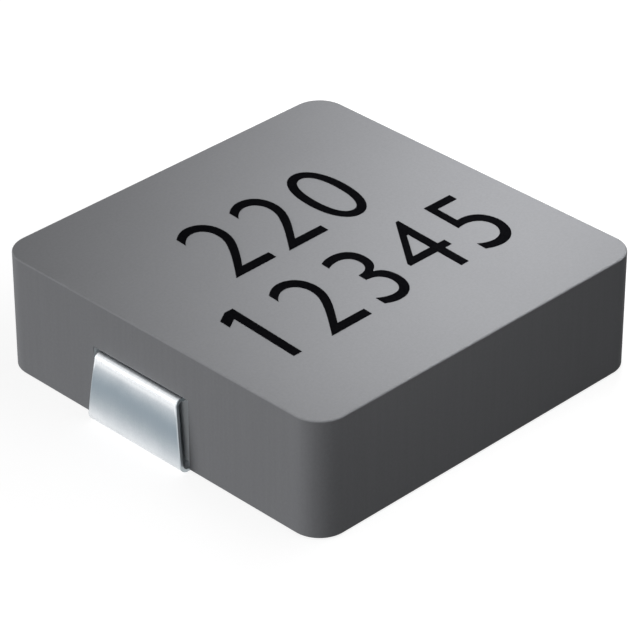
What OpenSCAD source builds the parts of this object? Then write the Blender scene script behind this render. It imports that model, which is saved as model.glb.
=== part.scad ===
// A shielded surface-mount power inductor: an edge-wound coil of flat copper wire with two folded
// sheet terminals, pressed into one block of metal-powder composite.
// The board is the plane z = 0, X runs from terminal to terminal, and the origin is under the middle.

/* [Body] */
// Side of the square block
body_side = 10; // [9.8:0.1:12]
// Height of the block alone
body_h = 2.96; // [2.8:0.02:4]
// Radius of the four upright corners
corner_r = 0.7; // [0.3:0.1:1.2]
// Radius of the rounded rims at the top and the base
rim_r = 0.04; // [0.03:0.01:0.15]
// Gap between the base of the block and the board
standoff = 0.03; // [0.02:0.01:0.05]

/* [Terminals] */
// Thickness of the plated copper sheet
sheet_t = 0.1; // [0.08:0.01:0.12]
// How far each terminal sits to the side of the middle line
terminal_y = 0.44; // [0:0.02:0.8]
// Width of the sheet where it leaves the block
tab_w = 2.6; // [2:0.02:2.8]
// Width of the sheet at the foot
foot_w = 2.96; // [2.8:0.02:3.4]
// Length of the foot under the block
foot_under = 2; // [1.5:0.1:2.4]
// Height of the upper face of the sheet where it leaves the block
tab_top = 1.8; // [1.6:0.01:1.9]
// Lean of the plate away from the block, in degrees
plate_lean = 3; // [2:0.5:6]
// How far the plate stands proud of the block at its upper bend
plate_proud = 0.17; // [0.12:0.01:0.2]
// Radius inside the upper bend
top_bend_r = 0.05; // [0.04:0.01:0.1]
// Radius inside the lower bend
foot_bend_r = 0.12; // [0.08:0.01:0.16]

/* [Pockets for the terminals] */
// Depth of the pocket in the side of the block
pocket_depth = 0.15; // [0.1:0.01:0.2]
// Gap between the foot and each side of its pocket
pocket_gap = 0.02; // [0.02:0.005:0.08]
// Height of the pocket above the sheet that leaves it
pocket_head = 0.03; // [0.03:0.01:0.1]

/* [Coil] */
// Width of the flat wire
wire_w = 1.3; // [1:0.05:1.4]
// Thickness of the flat wire
wire_t = 0.28; // [0.22:0.01:0.3]
// Chamfer that stands for the rounded edges of the wire
wire_edge = 0.06; // [0.03:0.01:0.08]
// Radius of the hole through the winding
bore_r = 1.7; // [1.5:0.05:1.8]
// Composite pressed between one turn and the next
turn_gap = 0.04; // [0.03:0.01:0.06]
// Full turns, beside the part turn that the two ends add
full_turns = 3; // [2:1:3]
// Radius of the edgewise bend where each end leaves the winding, on the wire's middle line
lead_r = 0.9; // [0.8:0.05:1]
// Length of the welded lap between each end and its terminal
lap = 0.55; // [0.45:0.05:0.6]
// Composite between the coil's ends and the pockets
end_wall = 0.3; // [0.2:0.05:0.35]

/* [Hidden] */
$fn = 96;

// How far a cut runs past the face that it opens
overrun = 1;

body_top = standoff + body_h;
tab_under = tab_top - sheet_t;

// The two bends of a terminal: the middle of each bend, and the straight lengths that join them
plate_turn = 90 - plate_lean;
foot_turn = 90 + plate_lean;
radius_change = top_bend_r - foot_bend_r;
upper_x = body_side / 2 + plate_proud - (top_bend_r + sheet_t) * cos(plate_lean);
upper_z = tab_under - top_bend_r;
lower_z = sheet_t + foot_bend_r;
plate_len = (upper_z - lower_z + radius_change * sin(plate_lean)) / cos(plate_lean);
lower_x = upper_x + radius_change * cos(plate_lean) + plate_len * sin(plate_lean);
foot_len = lower_x - (body_side / 2 - foot_under);

// The winding climbs about the middle plane of the sheet, and turns anticlockwise from above
pitch = wire_t + turn_gap;
ring_r = bore_r + wire_w / 2;
start_angle = 180 + asin((lead_r - terminal_y) / (ring_r + lead_r));
end_angle = 360 * (full_turns + 1) - asin((lead_r + terminal_y) / (ring_r + lead_r));
rise = pitch * (end_angle - start_angle) / 360;
start_z = tab_top - sheet_t / 2 - rise / 2;
end_z = start_z + rise;

// The left end laps under its tab, and the right end over its own
start_lap_z = tab_under - wire_t / 2;
end_lap_z = tab_top + wire_t / 2;

// Each end runs out along X: a short straight, a joggle up or down to its tab, then the lap
straight = 0.03;
flat_before_tab = 0.05;
joggle_x = (ring_r + lead_r) * cos(start_angle - 180) + straight;
lead_end_x = body_side / 2 - pocket_depth - end_wall;
tab_x = lead_end_x - lap;
joggle = tab_x - flat_before_tab - joggle_x;

// Points along the wire
ring_steps = ceil((end_angle - start_angle) / 10);
bend_steps = 6;
joggle_steps = 8;

// Each point of the wire's route is [x, y, z, heading in degrees, slope]
function ring_point(u) =
    let (a = start_angle + (end_angle - start_angle) * u)
    [ring_r * cos(a), ring_r * sin(a), start_z + rise * u, a + 90, pitch / (2 * PI * ring_r)];

// The edgewise bend touches the winding at the angle at, and a turns about the bend's own middle
function bend_point(at, a, z) = [
    (ring_r + lead_r) * cos(at) + lead_r * cos(a),
    (ring_r + lead_r) * sin(at) + lead_r * sin(a),
    z, a - 90, 0
];

// Along a joggle u is 0 beside the winding and 1 at the lap, with a level start and end
function joggle_point(side, u, ring_z, lap_z) = [
    side * (joggle_x + u * joggle),
    -side * terminal_y,
    ring_z + (lap_z - ring_z) * u * u * (3 - 2 * u),
    0,
    side * (lap_z - ring_z) * 6 * u * (1 - u) / joggle
];

start_bend_a = start_angle - 180;
end_bend_a = end_angle - 360 * full_turns - 180;
wire_route = [
    [-lead_end_x, terminal_y, start_lap_z, 0, 0],
    for (i = [joggle_steps : -1 : 0]) joggle_point(-1, i / joggle_steps, start_z, start_lap_z),
    for (i = [0 : bend_steps - 1])
        bend_point(start_angle, 90 + (start_bend_a - 90) * i / bend_steps, start_z),
    for (i = [0 : ring_steps]) ring_point(i / ring_steps),
    for (i = [1 : bend_steps])
        bend_point(end_angle, end_bend_a + (90 - end_bend_a) * i / bend_steps, end_z),
    for (i = [0 : joggle_steps]) joggle_point(1, i / joggle_steps, end_z, end_lap_z),
    [lead_end_x, -terminal_y, end_lap_z, 0, 0]
];

// The wire's section, [left, up], clockwise for an eye that looks along the wire
wire_section = let (w = wire_w / 2, t = wire_t / 2, c = wire_edge)
    [[w, t - c], [w - c, t], [c - w, t], [-w, t - c], [-w, c - t], [c - w, -t], [w - c, -t], [w, c - t]];

function section_at(p) =
    let (
        left = [-sin(p[3]), cos(p[3]), 0],
        along = [cos(p[3]), sin(p[3]), p[4]] / norm([1, p[4]]),
        up = cross(along, left)
    )
    [for (q = wire_section) [p.x, p.y, p.z] + q[0] * left + q[1] * up];

// Joins a list of equal closed sections into one solid with flat ends
module swept(sections) {
    m = len(sections[0]);
    last = (len(sections) - 1) * m;
    sides = [
        for (i = [0 : len(sections) - 2], j = [0 : m - 1])
            let (a = i * m + j, b = i * m + (j + 1) % m)
            each [[a, b + m, b], [a, a + m, b + m]]
    ];
    near_end = [for (j = [0 : m - 1]) j];
    far_end = [for (j = [m - 1 : -1 : 0]) last + j];
    polyhedron(points = [for (s = sections) each s], faces = concat(sides, [near_end, far_end]));
}

// Enamelled flat copper, wound on its edge
module coil() {
    color([0.72, 0.4, 0.2])
        swept([for (p = wire_route) section_at(p)]);
}

// A sheet that runs along +X and folds down: each fold is [straight length, angle, radius inside it]
module folded_sheet(folds, width, i = 0) {
    translate([0, 0, -width / 2])
        cube([folds[i][0], sheet_t, width]);
    if (i < len(folds) - 1) {
        turn = folds[i][1];
        inside = folds[i][2];
        translate([folds[i][0], -inside, 0]) {
            translate([0, 0, -width / 2])
                rotate([0, 0, 90 - turn])
                    rotate_extrude(angle = turn)
                        translate([inside, 0])
                            square([sheet_t, width]);
            rotate([0, 0, -turn])
                translate([0, inside, 0])
                    folded_sheet(folds, width, i + 1);
        }
    }
}

// The sheet's outline as the board's edge sees it: parallel at the tab, flared down to the foot
module flared_outline() {
    right_half = [[tab_w / 2, body_top], [tab_w / 2, upper_z], [foot_w / 2, lower_z], [foot_w / 2, 0]];
    polygon(concat(right_half, [for (i = [3 : -1 : 0]) [-right_half[i].x, right_half[i].y]]));
}

// A stamped terminal that leaves the block towards +X, folds down its side and in under its base
module terminal() {
    color([0.82, 0.84, 0.86])
        translate([0, -terminal_y, 0])
            intersection() {
                translate([tab_x, 0, tab_under])
                    rotate([90, 0, 0])
                        folded_sheet([
                            [upper_x - tab_x, plate_turn, top_bend_r],
                            [plate_len, foot_turn, foot_bend_r],
                            [foot_len]
                        ], foot_w);
                rotate([90, 0, 90])
                    linear_extrude(body_side)
                        flared_outline();
            }
}

module terminal_right() {
    terminal();
}

module terminal_left() {
    rotate([0, 0, 180])
        terminal();
}

// A section through the block, with its four rims rounded
module rimmed_section(width, height, rim) {
    translate([rim, 0]) square([width - 2 * rim, height]);
    translate([0, rim]) square([width, height - 2 * rim]);
    for (x = [rim, width - rim], y = [rim, height - rim])
        translate([x, y]) circle(rim);
}

// Two crossed slabs and four turned posts make a block with round corners and rounded rims
module rounded_block(side, height, r, rim) {
    for (a = [0, 90])
        rotate([90, 0, a])
            translate([-side / 2, 0, r - side / 2])
                linear_extrude(side - 2 * r)
                    rimmed_section(side, height, rim);
    for (x = [r - side / 2, side / 2 - r], y = [r - side / 2, side / 2 - r])
        translate([x, y, 0])
            rotate_extrude()
                intersection() {
                    translate([-r, 0]) rimmed_section(2 * r, height, rim);
                    square([r, height]);
                }
}

// The pocket for one terminal, down the side of the block and in under its base
module terminal_pocket() {
    width = foot_w + 2 * pocket_gap;
    translate([body_side / 2 - pocket_depth, -terminal_y - width / 2, -overrun])
        cube([pocket_depth + overrun, width, overrun + tab_top + pocket_head]);
    translate([body_side / 2 - foot_under - pocket_gap, -terminal_y - width / 2, -overrun])
        cube([foot_under + overrun, width, overrun + sheet_t]);
}

// The composite is pressed round the tab, so its slot is the tab's own shape
module tab_slot() {
    translate([tab_x, -terminal_y - tab_w / 2, tab_under])
        cube([body_side / 2 - tab_x, tab_w, sheet_t]);
}

// The composite fills every space round the coil, so the hollow inside is the coil's own shape
module moulded_body() {
    color([0.42, 0.43, 0.44])
        difference() {
            translate([0, 0, standoff])
                rounded_block(body_side, body_h, corner_r, rim_r);
            for (a = [0, 180])
                rotate([0, 0, a]) {
                    terminal_pocket();
                    tab_slot();
                }
            coil();
        }
}

moulded_body();
coil();
terminal_left();
terminal_right();
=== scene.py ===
import math

import bmesh
import bpy
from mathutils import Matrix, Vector


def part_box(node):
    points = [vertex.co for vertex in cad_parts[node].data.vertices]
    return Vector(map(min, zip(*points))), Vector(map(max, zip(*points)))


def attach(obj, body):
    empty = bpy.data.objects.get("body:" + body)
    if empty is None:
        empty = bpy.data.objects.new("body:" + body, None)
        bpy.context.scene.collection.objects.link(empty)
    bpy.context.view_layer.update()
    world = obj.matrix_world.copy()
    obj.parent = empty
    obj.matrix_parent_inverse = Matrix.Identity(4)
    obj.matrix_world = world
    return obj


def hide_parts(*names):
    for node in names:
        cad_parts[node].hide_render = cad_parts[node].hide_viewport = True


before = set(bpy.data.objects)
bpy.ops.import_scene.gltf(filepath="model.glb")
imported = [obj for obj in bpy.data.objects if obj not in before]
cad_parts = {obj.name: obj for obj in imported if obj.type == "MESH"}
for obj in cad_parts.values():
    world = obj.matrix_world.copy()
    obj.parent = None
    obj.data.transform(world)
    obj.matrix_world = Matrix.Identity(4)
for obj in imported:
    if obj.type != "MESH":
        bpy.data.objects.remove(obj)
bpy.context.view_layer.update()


# The coil
# One length of enamelled flat copper wire, wound on its edge into a ring of three and a half turns.
# Its two ends are stripped bare, joggled level with the terminals and spot-welded to their tabs.
BARE_COPPER = (0.78, 0.37, 0.21, 1)
DULL_COPPER = (0.6, 0.25, 0.13, 1)
PALE_ENAMEL = (0.56, 0.2, 0.06, 1)
DEEP_ENAMEL = (0.36, 0.1, 0.03, 1)
ENAMEL_ENDS_AT = 3.9
ENAMEL_FADES_OVER = 0.1
ENAMEL_ROUGHNESS = 0.22
COPPER_ROUGHNESS = 0.38
NOISE_RANGE = (0.3, 0.7)

# All places and sizes are in millimetres, apart from the camera's. Finished pieces are in metres.
MM_PER_METRE = 1000


def feed(tree, node, inputs):
    """Links or sets the named inputs of a shader node."""
    for name, value in inputs.items():
        if isinstance(value, bpy.types.NodeSocket):
            tree.links.new(value, node.inputs[name])
        else:
            node.inputs[name].default_value = value


def add_node(tree, kind, inputs=None, **settings):
    """Adds a shader node with its settings and its inputs."""
    node = tree.nodes.new("ShaderNode" + kind)
    for name, value in settings.items():
        setattr(node, name, value)
    feed(tree, node, inputs or {})
    return node


def maths(tree, operation, *values):
    """One step of arithmetic on values or sockets."""
    return add_node(tree, "Math", dict(enumerate(values)), operation=operation).outputs[0]


def between(tree, value, low, high):
    """Rises smoothly from 0 to 1 as the value goes from low to high."""
    limits = {"Value": value, "From Min": low, "From Max": high}
    return add_node(tree, "MapRange", limits, interpolation_type="SMOOTHSTEP").outputs[0]


def mix_values(tree, share, first, second):
    """The first value where the share is 0, and the second where it is 1."""
    return add_node(tree, "Mix", {0: share, 2: first, 3: second}).outputs[0]


def mix_colours(tree, share, first, second):
    """The first colour where the share is 0, and the second where it is 1."""
    return add_node(tree, "Mix", {0: share, 6: first, 7: second}, data_type="RGBA").outputs[2]


def place_in_mm(tree):
    """The place on the piece, in millimetres from the part's origin."""
    place = add_node(tree, "TexCoord").outputs["Object"]
    return add_node(tree, "Mapping", {"Vector": place, "Scale": (MM_PER_METRE,) * 3}).outputs[0]


def new_effect(name, inputs, outputs):
    """Starts a node group with the named sockets, and returns it with its own two ends."""
    group = bpy.data.node_groups.new(name, "ShaderNodeTree")
    for side, sockets in (("INPUT", inputs), ("OUTPUT", outputs)):
        for socket, kind in sockets.items():
            group.interface.new_socket(name=socket, in_out=side, socket_type="NodeSocket" + kind)
    return group, group.nodes.new("NodeGroupInput").outputs, group.nodes.new("NodeGroupOutput")


def grain_effect():
    """Fine grain under soft clouds: a tone from 0 to 1, and a height for the bump."""
    group, given, result = new_effect(
        "grain",
        {"Place": "Vector", "Grains per mm": "Float", "Clouds per mm": "Float", "Cloudiness": "Float"},
        {"Tone": "Float", "Height": "Float"},
    )
    fine = add_node(group, "TexNoise", {
        "Vector": given["Place"], "Scale": given["Grains per mm"], "Detail": 3.0, "Roughness": 0.65,
    }).outputs[0]
    soft = add_node(group, "TexNoise", {
        "Vector": given["Place"], "Scale": given["Clouds per mm"], "Detail": 2.0,
    }).outputs[0]
    clear_grain = between(group, fine, *NOISE_RANGE)
    tone = mix_values(group, given["Cloudiness"], clear_grain, soft)
    feed(group, result, {"Tone": tone, "Height": clear_grain})
    return group


grain = grain_effect()


def new_finish(name):
    """Starts a material, and returns it with its node tree and its shader."""
    finish = bpy.data.materials.new(name)
    finish.use_nodes = True
    return finish, finish.node_tree, finish.node_tree.nodes["Principled BSDF"]


def bumped(tree, height, depth_mm, strength):
    """The surface's direction once a height roughens it. A height of 1 stands depth_mm high."""
    bump = {"Height": height, "Distance": depth_mm / MM_PER_METRE, "Strength": strength}
    return add_node(tree, "Bump", bump).outputs[0]


def enamelled_copper():
    """Copper under clear enamel, and duller bare copper where the two ends are stripped."""
    finish, tree, shader = new_finish("enamelled_copper")
    place = place_in_mm(tree)
    along_x = add_node(tree, "SeparateXYZ", {0: place}).outputs[0]
    bare = between(tree, maths(tree, "ABSOLUTE", along_x),
                   ENAMEL_ENDS_AT - ENAMEL_FADES_OVER / 2, ENAMEL_ENDS_AT + ENAMEL_FADES_OVER / 2)
    clouds = add_node(tree, "Group", {
        "Place": place, "Grains per mm": 9.0, "Clouds per mm": 1.2, "Cloudiness": 0.6,
    }, node_tree=grain).outputs
    enamel = mix_colours(tree, clouds["Tone"], DEEP_ENAMEL, PALE_ENAMEL)
    copper = mix_colours(tree, clouds["Tone"], DULL_COPPER, BARE_COPPER)
    feed(tree, shader, {
        "Base Color": mix_colours(tree, bare, enamel, copper),
        "Roughness": mix_values(tree, bare, ENAMEL_ROUGHNESS, COPPER_ROUGHNESS),
        "Coat Weight": maths(tree, "SUBTRACT", 1.0, bare),
        "Coat Roughness": 0.12,
        "Metallic": 1.0,
        "Normal": bumped(tree, clouds["Height"], depth_mm=0.004, strength=0.3),
    })
    return finish


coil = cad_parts["coil"]
coil.material_slots[0].material = enamelled_copper()


# The two terminals
# Each is one strip of tin-plated copper sheet, stamped out and folded round the block's lower edge.
# The tab stays in the block, the plate leans out and widens, and the foot under the block is soldered.
BLOCK_END = 5.0
CENTRE_Y = 0.44
SHEET = 0.1
TAB_WIDTH = 2.6
TAB_END = 4.0
FOOT_WIDTH = 2.96
PLATE_LEAN = math.radians(3)
PLATE_PROUD = 0.17
PLATE_BOW = 0.012
PLATE_STEPS = 12
UPPER_BEND_INSIDE = 0.05
UPPER_BEND = UPPER_BEND_INSIDE + SHEET / 2
UPPER_BEND_STEPS = 10
LOWER_BEND_INSIDE = 0.12
LOWER_BEND = LOWER_BEND_INSIDE + SHEET / 2
LOWER_BEND_STEPS = 14
SHEARED_EDGE = 0.02
CLOSE_ENOUGH = 0.001
SMOOTH_ANGLE = math.radians(35)

# The plate's colour paints a reflection: bright tin at the top and the foot, blue-grey tin in a dull band
# across the middle, and a painted highlight just under the upper bend.
BRIGHT_TIN = (0.81, 0.83, 0.85, 1)
BLUE_TIN = (0.245, 0.29, 0.325, 1)
EDGE_TIN = (0.42, 0.46, 0.48, 1)
# Painted shade for the upper bend, toning down its highlight.
SHADED_BEND_TIN = (0.38, 0.39, 0.4, 1)
ROLLING_STRETCH = (3.0, 40.0, 1.5)
DULL_BAND_Z = 1.07
ABOVE_BAND = 0.68
BELOW_BAND = 0.95
BAND_TILT = -0.03
BAND_WANDER = 0.3
UNDER_BEND_HIGHLIGHT = 0.4
BRIGHTEST_IN_LINES = 0.8
TIN_ROUGHNESS = 0.4
ROUGHNESS_BY_BRIGHTNESS = -0.1
ROUGHNESS_BY_LINES = 0.08
ROUGHNESS_ON_BEND_STRIP = 0.15

# Each pair gives where a change on the plate begins and where it is complete.
FLARE_Z = (1.65, 0.22)
UNDER_BEND_Z = (1.48, 1.66)
# Painted shade on the upper bend, toning down its highlight; the same strip is also rougher.
BEND_STRIP_FROM_Z = (1.665, 1.7)
BEND_STRIP_TO_Z = (1.775, 1.72)
# A painted highlight along the plate's side edges, on its upper part.
EDGE_HIGHLIGHT_Z = (1.35, 1.6)
EDGE_HIGHLIGHT_INSET = (0.07, 0.035)
CUT_EDGE_INSET = (0.03, 0.01)


def in_mm(corners):
    """The corners of a CAD node's box, in millimetres."""
    return [corner * MM_PER_METRE for corner in corners]


def select_only(piece):
    """Makes the piece the only one that is selected, and the active one."""
    bpy.ops.object.select_all(action="DESELECT")
    piece.select_set(True)
    bpy.context.view_layer.objects.active = piece


def pick(piece, kind, test):
    """In edit mode, selects the faces or edges of the piece that pass a test, and nothing else."""
    bpy.ops.mesh.select_all(action="DESELECT")
    bpy.ops.mesh.select_mode(type=kind)
    shape = bmesh.from_edit_mesh(piece.data)
    for part in shape.edges if kind == "EDGE" else shape.faces:
        if test(part):
            part.select_set(True)
    shape.select_flush_mode()
    bmesh.update_edit_mesh(piece.data)


def middle(part):
    """The middle of an edge or a face."""
    points = [vertex.co for vertex in part.verts]
    return sum(points, Vector()) / len(points)


def put_on_modifier(piece, kind, **settings):
    """Adds a modifier, sets it and applies it."""
    modifier = piece.modifiers.new(kind.lower(), kind)
    for name, value in settings.items():
        setattr(modifier, name, value)
    select_only(piece)
    bpy.ops.object.modifier_apply(modifier=modifier.name)


def finish_piece(piece, name, finish):
    """Smooths a piece that was modelled in millimetres, brings it to metres and puts it on the body."""
    select_only(piece)
    bpy.ops.object.shade_smooth_by_angle(angle=SMOOTH_ANGLE)
    put_on_modifier(piece, "WEIGHTED_NORMAL", keep_sharp=True, weight=100)
    piece.scale = (1 / MM_PER_METRE,) * 3
    bpy.ops.object.transform_apply(location=True, rotation=True, scale=True)
    piece.name = name
    piece.data.name = name
    piece.data.materials.clear()
    piece.data.materials.append(finish)
    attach(piece, "root")


def width_down_plate(step):
    """The plate's width after a number of its steps, from the tab's width to the foot's."""
    return TAB_WIDTH + (FOOT_WIDTH - TAB_WIDTH) * step / PLATE_STEPS


def bow_down_plate(step):
    """How far the plate has bowed outwards after a number of its steps."""
    return PLATE_BOW * math.sin(math.pi * step / PLATE_STEPS)


def model_terminal(low, high):
    """Folds the left terminal along its middle surface, then gives it its thickness and edges."""
    centre_y = (low.y + high.y) / 2
    upper = Vector((-BLOCK_END - PLATE_PROUD + (UPPER_BEND + SHEET / 2) * math.cos(PLATE_LEAN), centre_y,
                    high.z - SHEET / 2 - UPPER_BEND))
    lower = Vector((low.x + SHEET / 2 + LOWER_BEND, centre_y, SHEET / 2 + LOWER_BEND))

    tab_middle = ((upper.x - TAB_END) / 2, centre_y, high.z - SHEET / 2)
    bpy.ops.mesh.primitive_plane_add(size=1, location=tab_middle)
    sheet = bpy.context.object
    sheet.scale = (-TAB_END - upper.x, TAB_WIDTH, 1)
    bpy.ops.object.transform_apply(location=True, rotation=True, scale=True)
    bpy.ops.object.mode_set(mode="EDIT")
    pick(sheet, "EDGE", lambda edge: middle(edge).x < upper.x + CLOSE_ENOUGH)
    bpy.ops.mesh.spin(
        steps=UPPER_BEND_STEPS, angle=math.pi / 2 - PLATE_LEAN, center=upper, axis=(0, 1, 0))

    out = Vector((-math.cos(PLATE_LEAN), 0, math.sin(PLATE_LEAN)))
    plate = lower + out * LOWER_BEND - upper - out * UPPER_BEND
    for step in range(PLATE_STEPS):
        bow = bow_down_plate(step + 1) - bow_down_plate(step)
        bpy.ops.mesh.extrude_edges_move(TRANSFORM_OT_translate={"value": plate / PLATE_STEPS + out * bow})
        widening = width_down_plate(step + 1) / width_down_plate(step)
        bpy.ops.transform.resize(value=(1, widening, 1), center_override=(0, centre_y, 0))
    bpy.ops.mesh.spin(
        steps=LOWER_BEND_STEPS, angle=math.pi / 2 + PLATE_LEAN, center=lower, axis=(0, 1, 0))
    bpy.ops.mesh.extrude_edges_move(TRANSFORM_OT_translate={"value": (high.x - lower.x, 0, 0)})
    bpy.ops.mesh.select_all(action="SELECT")
    bpy.ops.mesh.normals_make_consistent(inside=False)
    bpy.ops.object.mode_set(mode="OBJECT")

    put_on_modifier(sheet, "SOLIDIFY", thickness=SHEET, offset=0, use_even_offset=True)
    put_on_modifier(sheet, "BEVEL", width=SHEARED_EDGE, segments=3, angle_limit=math.radians(50))
    return sheet


def streak_effect():
    """Fine lines along one direction, as rolling and drawing leave them: a tone from 0 to 1."""
    group, given, result = new_effect(
        "rolling_lines", {"Place": "Vector", "Stretch": "Vector"}, {"Tone": "Float"})
    drawn_out = add_node(group, "VectorMath", {0: given["Place"], 1: given["Stretch"]},
                         operation="MULTIPLY").outputs[0]
    lines = add_node(group, "TexNoise", {"Vector": drawn_out, "Scale": 1.0, "Detail": 4.0}).outputs[0]
    feed(group, result, {"Tone": between(group, lines, *NOISE_RANGE)})
    return group


rolling_lines = streak_effect()


def spread(tree, tone, first, last):
    """Goes evenly from the first value to the last as the tone goes from 0 to 1."""
    return maths(tree, "MULTIPLY_ADD", tone, last - first, first)


def plate_brightness(tree, z, across, lines, clouds):
    """A painted reflection's mask: from 0 in the dull band across the plate to 1 above and below it,
    raised by a painted highlight just under the upper bend.
    """
    wandering_z = maths(tree, "MULTIPLY_ADD", maths(tree, "SUBTRACT", clouds, 0.5), BAND_WANDER, z)
    tilted_z = maths(tree, "MULTIPLY_ADD", across, BAND_TILT, wandering_z)
    from_band = maths(tree, "SUBTRACT", tilted_z, DULL_BAND_Z)
    above = maths(tree, "GREATER_THAN", from_band, 0.0)
    share = maths(tree, "DIVIDE", from_band, mix_values(tree, above, BELOW_BAND, ABOVE_BAND))
    painted_bright = maths(tree, "MULTIPLY", share, share)
    painted_bright = maths(tree, "MULTIPLY_ADD", between(tree, z, *UNDER_BEND_Z), UNDER_BEND_HIGHLIGHT, painted_bright)
    return maths(tree, "MINIMUM", painted_bright, spread(tree, lines, 1.0, BRIGHTEST_IN_LINES))


def tin_plate():
    """Tin with a painted reflection: bright above and below a dull blue-grey band, with painted
    highlights along the upper edges and under the upper bend, and painted shade on the bend.
    """
    finish, tree, shader = new_finish("tin_plate")
    place = place_in_mm(tree)
    x, y, z = add_node(tree, "SeparateXYZ", {0: place}).outputs
    # The right terminal is the left one turned half a turn, so its Y counts the other way round.
    turned_y = maths(tree, "MULTIPLY", y, maths(tree, "SIGN", x))
    across = maths(tree, "MULTIPLY_ADD", turned_y, -1.0, -CENTRE_Y)
    lines = add_node(tree, "Group", {"Place": place, "Stretch": ROLLING_STRETCH},
                     node_tree=rolling_lines).outputs["Tone"]
    matt = add_node(tree, "Group", {
        "Place": place, "Grains per mm": 28.0, "Clouds per mm": 1.3, "Cloudiness": 0.85,
    }, node_tree=grain).outputs
    half_width = add_node(tree, "MapRange", {
        "Value": z, "From Min": FLARE_Z[0], "From Max": FLARE_Z[1],
        "To Min": TAB_WIDTH / 2, "To Max": FOOT_WIDTH / 2,
    }).outputs[0]
    from_edge = maths(tree, "SUBTRACT", half_width, maths(tree, "ABSOLUTE", across))

    brightness = plate_brightness(tree, z, across, lines, matt["Tone"])
    # Painted highlight: bright tin along the plate's side edges, on its upper part.
    rim_highlight = maths(tree, "MULTIPLY", between(tree, from_edge, *EDGE_HIGHLIGHT_INSET),
                between(tree, z, *EDGE_HIGHLIGHT_Z))
    # Painted shade on the upper bend, which tones down its highlight; the same strip is also rougher.
    bend_strip = maths(tree, "MULTIPLY", between(tree, z, *BEND_STRIP_FROM_Z),
                      between(tree, z, *BEND_STRIP_TO_Z))
    # Painted reflection: blue-grey in the dull band, bright tin above and below it.
    colour = mix_colours(tree, brightness, BLUE_TIN, BRIGHT_TIN)
    colour = mix_colours(tree, rim_highlight, colour, BRIGHT_TIN)
    colour = mix_colours(tree, bend_strip, colour, SHADED_BEND_TIN)
    roughness = maths(tree, "MULTIPLY_ADD", brightness, ROUGHNESS_BY_BRIGHTNESS, TIN_ROUGHNESS)
    roughness = maths(tree, "MULTIPLY_ADD", lines, ROUGHNESS_BY_LINES, roughness)
    feed(tree, shader, {
        "Base Color": mix_colours(tree, between(tree, from_edge, *CUT_EDGE_INSET), colour, EDGE_TIN),
        "Roughness": maths(tree, "MULTIPLY_ADD", bend_strip, ROUGHNESS_ON_BEND_STRIP, roughness),
        "Metallic": 1.0,
        "Normal": bumped(tree, maths(tree, "ADD", lines, matt["Height"]), depth_mm=0.002, strength=0.25),
    })
    return finish


left_low, left_high = in_mm(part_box("terminal_left"))
left_terminal = model_terminal(left_low, left_high)
select_only(left_terminal)
bpy.ops.object.duplicate()
right_terminal = bpy.context.object
right_terminal.rotation_euler.z = math.pi
tin = tin_plate()
finish_piece(left_terminal, "left_terminal_sheet", tin)
finish_piece(right_terminal, "right_terminal_sheet", tin)
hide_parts("terminal_left")
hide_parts("terminal_right")


# The block
# Metal powder coated with resin, pressed round the coil and the tabs in one die and then cured.
# It is core, shield and case in one. The die rounds its corners and leaves a pocket for each terminal.
CORNER = 0.7
CORNER_STEPS = 20
RIM = 0.04
RIM_STEPS = 4
POCKET_DEPTH = 0.15
POCKET_GAP = 0.02
POCKET_HEAD = 0.03
POCKET_ROUND = 0.02
CLEAR_RISE = 0.5
PAST_THE_BLOCK = 1.0
MERGE_DISTANCE = 0.0005

DARK_POWDER = (0.203, 0.206, 0.216, 1)
PALE_POWDER = (0.234, 0.238, 0.248, 1)
# The upright sides are painted a little darker than the top and bottom: painted shade.
DARK_SHADED_SIDE = (0.172, 0.175, 0.184, 1)
PALE_SHADED_SIDE = (0.202, 0.206, 0.216, 1)
# A faint painted highlight for the rounded rims.
RIM_HIGHLIGHT_POWDER = (0.24, 0.244, 0.254, 1)
# Painted light for the shaded pockets.
POCKET_PAINTED_LIGHT = (0.6, 0.63, 0.65, 1)
POWDER_ROUGHNESS = (0.58, 0.68)
DIE_LINES_STRETCH = (9.0, 9.0, 0.3)
DIE_LINES_SHARE = 0.2

# How level a surface lies, from 0 on the sides to 1 on top, where a change begins and is complete.
PRESSED_FACE = (0.2, 0.9)
RIM_FROM_SIDE = (0.1, 0.4)
RIM_FROM_FACE = (1.0, 0.9)

# Painted light inside a pocket, where the terminal shades it: the middle of its space, and how far it
# reaches in X, Y and Z.
POCKET_LIGHT_OFF_EDGE = 0.01
POCKET_LIGHT_CENTRE = (BLOCK_END - POCKET_DEPTH / 2 - POCKET_LIGHT_OFF_EDGE, 0.0, 0.94)
POCKET_LIGHT_REACH = (POCKET_DEPTH / 2, 2.0, 0.85)


def add_box(low, high):
    """A plain box between two corners, as a start for a piece or as a cutter."""
    bpy.ops.mesh.primitive_cube_add(size=1, location=(low + high) / 2)
    box = bpy.context.object
    box.scale = high - low
    bpy.ops.object.transform_apply(location=True, rotation=True, scale=True)
    return box


def end_cutter(side, inner, outer, centre_y, width, bottom, top):
    """A box across one end of the block, from inner to outer along X. The side is -1 or 1."""
    ends = sorted((side * inner, side * outer))
    return add_box(Vector((ends[0], centre_y - width / 2, bottom)),
                   Vector((ends[1], centre_y + width / 2, top)))


def cut(piece, cutter):
    """Takes the cutter's shape out of the piece, and the cutter away."""
    put_on_modifier(piece, "BOOLEAN", operation="DIFFERENCE", object=cutter, solver="EXACT")
    bpy.data.objects.remove(cutter)


def upright(edge):
    """Whether an edge of the block is one of its upright corners."""
    return abs(edge.verts[0].co.z - edge.verts[1].co.z) > CLEAR_RISE


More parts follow.
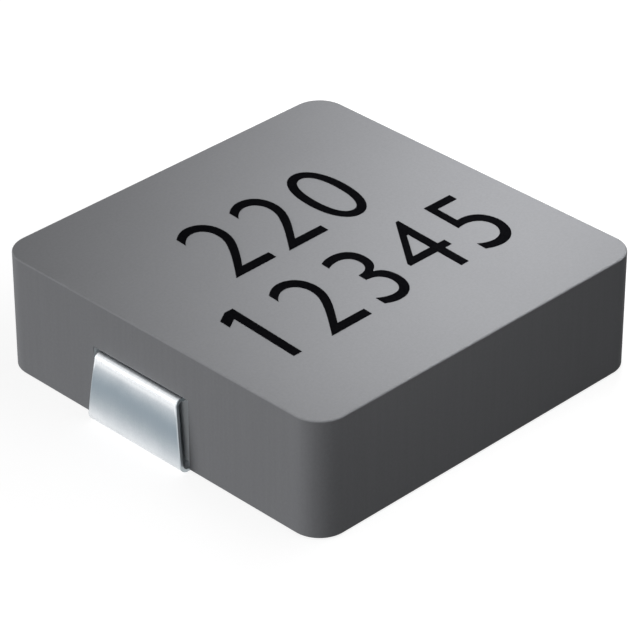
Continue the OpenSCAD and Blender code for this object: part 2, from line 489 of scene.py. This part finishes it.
def merge_corners(piece):
    """Joins the corners that lie in one place, and turns every face outwards."""
    select_only(piece)
    bpy.ops.object.mode_set(mode="EDIT")
    bpy.ops.mesh.select_all(action="SELECT")
    bpy.ops.mesh.remove_doubles(threshold=MERGE_DISTANCE)
    bpy.ops.mesh.normals_make_consistent(inside=False)
    bpy.ops.object.mode_set(mode="OBJECT")


def model_block(low, high):
    """The block as the die shapes it, with round corners and narrower rims at top and bottom."""
    block = add_box(low, high)
    bpy.ops.object.mode_set(mode="EDIT")
    pick(block, "EDGE", upright)
    bpy.ops.mesh.bevel(offset=CORNER, segments=CORNER_STEPS, affect="EDGES")
    pick(block, "EDGE", lambda edge: not upright(edge))
    bpy.ops.mesh.bevel(offset=RIM, segments=RIM_STEPS, affect="EDGES")
    bpy.ops.object.mode_set(mode="OBJECT")
    return block


def cut_pockets(block, side):
    """Cuts one terminal's pocket and its tab's slot. The side is -1 on the left and 1 on the right."""
    low, high = in_mm(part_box("terminal_left" if side < 0 else "terminal_right"))
    centre_y = (low.y + high.y) / 2
    width = FOOT_WIDTH + 2 * POCKET_GAP
    foot_end = min(abs(low.x), abs(high.x)) - POCKET_GAP
    outer = BLOCK_END + PAST_THE_BLOCK
    for inner, top in ((BLOCK_END - POCKET_DEPTH, high.z + POCKET_HEAD), (foot_end, SHEET)):
        cutter = end_cutter(side, inner, outer, centre_y, width, -PAST_THE_BLOCK, top)
        put_on_modifier(cutter, "BEVEL", width=POCKET_ROUND, segments=3)
        cut(block, cutter)
    cut(block, end_cutter(side, TAB_END, BLOCK_END, centre_y, TAB_WIDTH, high.z - SHEET, high.z))


def cut_coil_space(block):
    """The powder fills every space round the coil, so the hollow is a copy of the coil itself."""
    space = coil.copy()
    space.data = coil.data.copy()
    bpy.context.collection.objects.link(space)
    space.parent = None
    select_only(space)
    space.scale = (MM_PER_METRE,) * 3
    bpy.ops.object.transform_apply(location=True, rotation=True, scale=True)
    merge_corners(space)
    cut(block, space)


def pressed_powder():
    """Matt where the punches press it, with faint upright lines where it slid along the die. The upright
    sides are painted a little darker than the top and bottom, a painted shade; the rims get a faint
    painted highlight and the pockets a painted light.
    """
    finish, tree, shader = new_finish("pressed_powder")
    place = place_in_mm(tree)
    x, y, z = add_node(tree, "SeparateXYZ", {0: place}).outputs
    powder = add_node(tree, "Group", {
        "Place": place, "Grains per mm": 16.0, "Clouds per mm": 0.5, "Cloudiness": 0.55,
    }, node_tree=grain).outputs
    scored = add_node(tree, "Group", {"Place": place, "Stretch": DIE_LINES_STRETCH},
                      node_tree=rolling_lines).outputs["Tone"]
    normal = add_node(tree, "NewGeometry").outputs["Normal"]
    levelness = maths(tree, "ABSOLUTE", add_node(tree, "SeparateXYZ", {0: normal}).outputs[2])
    # Painted shade: the upright sides take a darker colour than the top and bottom faces; the faint
    # upright die lines are real.
    side_tone = mix_values(tree, DIE_LINES_SHARE, powder["Tone"], scored)
    shaded_sides = mix_colours(tree, side_tone, DARK_SHADED_SIDE, PALE_SHADED_SIDE)
    faces = mix_colours(tree, powder["Tone"], DARK_POWDER, PALE_POWDER)
    colour = mix_colours(tree, between(tree, levelness, *PRESSED_FACE), shaded_sides, faces)
    # A faint painted highlight on the rounded rims.
    rim_highlight = maths(tree, "MULTIPLY", between(tree, levelness, *RIM_FROM_SIDE),
                between(tree, levelness, *RIM_FROM_FACE))
    colour = mix_colours(tree, rim_highlight, colour, RIM_HIGHLIGHT_POWDER)
    # Painted light: a paler colour in the pockets, where the terminals shade them.
    pocket_light = 1.0
    for value, centre, reach in zip((maths(tree, "ABSOLUTE", x), y, z), POCKET_LIGHT_CENTRE, POCKET_LIGHT_REACH):
        pocket_light = maths(tree, "MULTIPLY", pocket_light, maths(tree, "COMPARE", value, centre, reach))
    feed(tree, shader, {
        "Base Color": mix_colours(tree, pocket_light, colour, POCKET_PAINTED_LIGHT),
        "Roughness": spread(tree, powder["Tone"], *POWDER_ROUGHNESS),
        "Specular IOR Level": 0.1,
        "Normal": bumped(tree, powder["Height"], depth_mm=0.004, strength=0.25),
    })
    return finish


block_low, block_high = in_mm(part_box("moulded_body"))
block = model_block(block_low, block_high)
for side in (-1, 1):
    cut_pockets(block, side)
cut_coil_space(block)
finish_piece(block, "pressed_block", pressed_powder())
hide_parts("moulded_body")


# The marking
# Two rows of plain black digits, printed on the top face in ink about a hundredth of a millimetre thick.
# They run along X, so they read from the left terminal to the right one.
INK_DEPTH = 0.01
INK = (0.0015, 0.0015, 0.002, 1)
THIN_INK = (0.005, 0.005, 0.006, 1)
INK_ROUGHNESS = (0.6, 0.75)
DIGIT_HEIGHT = 2.31
FONT_DIGIT_HEIGHT = 0.7
DIGIT_NARROWED = 0.87
DIGIT_SPACING = 1.1
DIGIT_SLANT = 0.07
STROKE_THINNED = 0.03
FLAG_DEPTH = 0.32
FLAG_REACH = Vector((-0.3, -0.18, 0))
WIDTH_OF_ONE = 0.45
STEM_OF_ONE = 0.3
FACING_LEFT = -0.9

# Each row's digits, the X of its middle and the Y of the line that it stands on.
ROWS = (("220", 0.09, 0.4), ("12345", -0.09, -2.71))


def printed_ink():
    """Flat black ink, a little thinner in soft patches."""
    finish, tree, shader = new_finish("printed_ink")
    place = place_in_mm(tree)
    cover = add_node(tree, "Group", {
        "Place": place, "Grains per mm": 16.0, "Clouds per mm": 1.5, "Cloudiness": 0.5,
    }, node_tree=grain).outputs
    feed(tree, shader, {
        "Base Color": mix_colours(tree, cover["Tone"], INK, THIN_INK),
        "Roughness": spread(tree, cover["Tone"], *INK_ROUGHNESS),
        "Specular IOR Level": 0.0,
        "Normal": bumped(tree, cover["Height"], depth_mm=0.003, strength=0.2),
    })
    return finish


def print_row(digits, centre_x, baseline):
    """One row of digits as a solid layer of ink on the block."""
    bpy.ops.object.select_all(action="DESELECT")
    bpy.ops.object.text_add(location=(centre_x, baseline, block_high.z + INK_DEPTH / 2))
    row = bpy.context.object
    row.data.body = digits
    row.data.align_x = "CENTER"
    row.data.extrude = INK_DEPTH / 2
    row.data.size = (DIGIT_HEIGHT + 2 * STROKE_THINNED) / FONT_DIGIT_HEIGHT
    row.data.space_character = DIGIT_SPACING
    row.data.shear = DIGIT_SLANT
    row.data.offset = -STROKE_THINNED
    row.scale.x = DIGIT_NARROWED
    bpy.ops.object.convert(target="MESH")
    bpy.ops.object.transform_apply(location=True, rotation=True, scale=True)
    return bpy.context.object


def add_flag(row):
    """Gives the 1 that begins a row the short slanting stroke at its head."""
    left = min(vertex.co.x for vertex in row.data.vertices)
    head = max(vertex.co.y for vertex in row.data.vertices if vertex.co.x < left + WIDTH_OF_ONE)
    select_only(row)
    bpy.ops.object.mode_set(mode="EDIT")
    pick(row, "FACE", lambda face: middle(face).x < left + WIDTH_OF_ONE)
    bpy.ops.mesh.bisect(plane_co=(left, head - FLAG_DEPTH, 0), plane_no=(0, 1, 0))
    pick(row, "FACE", lambda face: face.normal.x < FACING_LEFT and middle(face).x < left + STEM_OF_ONE
         and middle(face).y > head - FLAG_DEPTH)
    bpy.ops.mesh.extrude_region_move(TRANSFORM_OT_translate={"value": FLAG_REACH})
    bpy.ops.object.mode_set(mode="OBJECT")


short_row, long_row = [print_row(*row) for row in ROWS]
add_flag(long_row)
select_only(short_row)
long_row.select_set(True)
bpy.ops.object.join()
marking = bpy.context.object
merge_corners(marking)
finish_piece(marking, "ink_marking", printed_ink())


# The studio
# A white floor and surround, and a narrow strip lamp that lies level above the right half of the part.
# Three lamps stand further off: one on the left, one before the left front corner and one behind.
WHITE = (1, 1, 1, 1)
FLOOR_SIZE = 1000
FLOOR_SEEN = (0.25, 0.25, 0.25, 1)
FLOOR_BOUNCE = (0.06, 0.06, 0.06, 1)
SKY_LIGHT = 0.04
PART_MIDDLE = Vector((0, 0, 1.5))
KEY_TURN = math.radians(31.3)
KEY_POWER = 0.0032
LEFT_POWER = 0.1165
FRONT_POWER = 0.0085
BACK_POWER = 0.003

# How brightly the floor glows near the part and further off, and the distances between which it changes.
FLOOR_GLOW = (0.87, 1.0)
FLOOR_GLOW_CHANGES = (8.0, 14.0)


def seen_or_mirrored(tree):
    """1 for what the camera sees, also in a mirror or through glass, and 0 for light on the part."""
    path = add_node(tree, "LightPath").outputs
    seen = maths(tree, "MAXIMUM", path["Is Camera Ray"], path["Is Glossy Ray"])
    return maths(tree, "MAXIMUM", seen, path["Is Transmission Ray"])


def white_floor():
    """Glows white where it is seen, a little less close to the part, and throws little light back."""
    finish, tree, shader = new_finish("white_floor")
    seen = seen_or_mirrored(tree)
    away = add_node(tree, "VectorMath", {0: place_in_mm(tree)}, operation="LENGTH").outputs["Value"]
    glow = mix_values(tree, between(tree, away, *FLOOR_GLOW_CHANGES), *FLOOR_GLOW)
    feed(tree, shader, {
        "Base Color": mix_colours(tree, seen, FLOOR_BOUNCE, FLOOR_SEEN),
        "Roughness": 0.9,
        "Specular IOR Level": 0.0,
        "Emission Color": WHITE,
        "Emission Strength": maths(tree, "MULTIPLY", seen, glow),
    })
    return finish


bpy.ops.mesh.primitive_plane_add(size=FLOOR_SIZE / MM_PER_METRE)
floor = bpy.context.object
floor.name = "floor"
floor.data.materials.append(white_floor())

scene = bpy.context.scene
scene.view_settings.view_transform = "Standard"

surround = bpy.data.worlds.new("surround")
surround.use_nodes = True
scene.world = surround
sky = surround.node_tree
feed(sky, sky.nodes["Background"], {
    "Color": WHITE,
    "Strength": mix_values(sky, seen_or_mirrored(sky), SKY_LIGHT, 1.0),
})


def add_lamp(name, place, width, height, power):
    """A soft lamp that aims at the middle of the part and isn't seen itself."""
    bpy.ops.object.light_add(type="AREA", location=Vector(place) / MM_PER_METRE)
    lamp = bpy.context.object
    lamp.name = name
    lamp.data.shape = "RECTANGLE"
    lamp.data.size = width / MM_PER_METRE
    lamp.data.size_y = height / MM_PER_METRE
    lamp.data.energy = power
    lamp.rotation_euler = (PART_MIDDLE - Vector(place)).to_track_quat("-Z", "Y").to_euler()
    lamp.visible_camera = False
    return lamp


# The key strip is laid level instead of being aimed.
key = add_lamp("key_strip", (8.1, 0, 12.3), width=30, height=4.5, power=KEY_POWER)
key.rotation_euler = (0, 0, KEY_TURN)
add_lamp("left_fill", (-103, 77, 24), width=120, height=48, power=LEFT_POWER)
add_lamp("front_fill", (-52, -34, 7), width=20, height=12, power=FRONT_POWER)
add_lamp("back_fill", (45, 45, 12), width=40, height=20, power=BACK_POWER)


# The camera
# It looks down at the corner between the part's left side and its front, from half-way between the two,
# as the photograph does. Its distance, its aim and its near limit are in metres.
CAMERA_DISTANCE = 0.079276
CAMERA_TURN = math.radians(-45)
CAMERA_RISE = math.radians(32.4871)
CAMERA_LENS = 199.84
CAMERA_NEAR_LIMIT = 0.001
AIM_SIDEWAYS = 0.0000093
AIM_HEIGHT = 0.0011301

bpy.ops.object.camera_add()
camera = bpy.context.object
back = Vector((math.sin(CAMERA_TURN) * math.cos(CAMERA_RISE),
               -math.cos(CAMERA_TURN) * math.cos(CAMERA_RISE), math.sin(CAMERA_RISE)))
sideways = Vector((math.cos(CAMERA_TURN), math.sin(CAMERA_TURN), 0))
aim = sideways * AIM_SIDEWAYS + Vector((0, 0, AIM_HEIGHT))
camera.location = aim + back * CAMERA_DISTANCE
camera.rotation_euler = (-back).to_track_quat("-Z", "Y").to_euler()
camera.data.lens = CAMERA_LENS
camera.data.clip_start = CAMERA_NEAR_LIMIT
scene.camera = camera
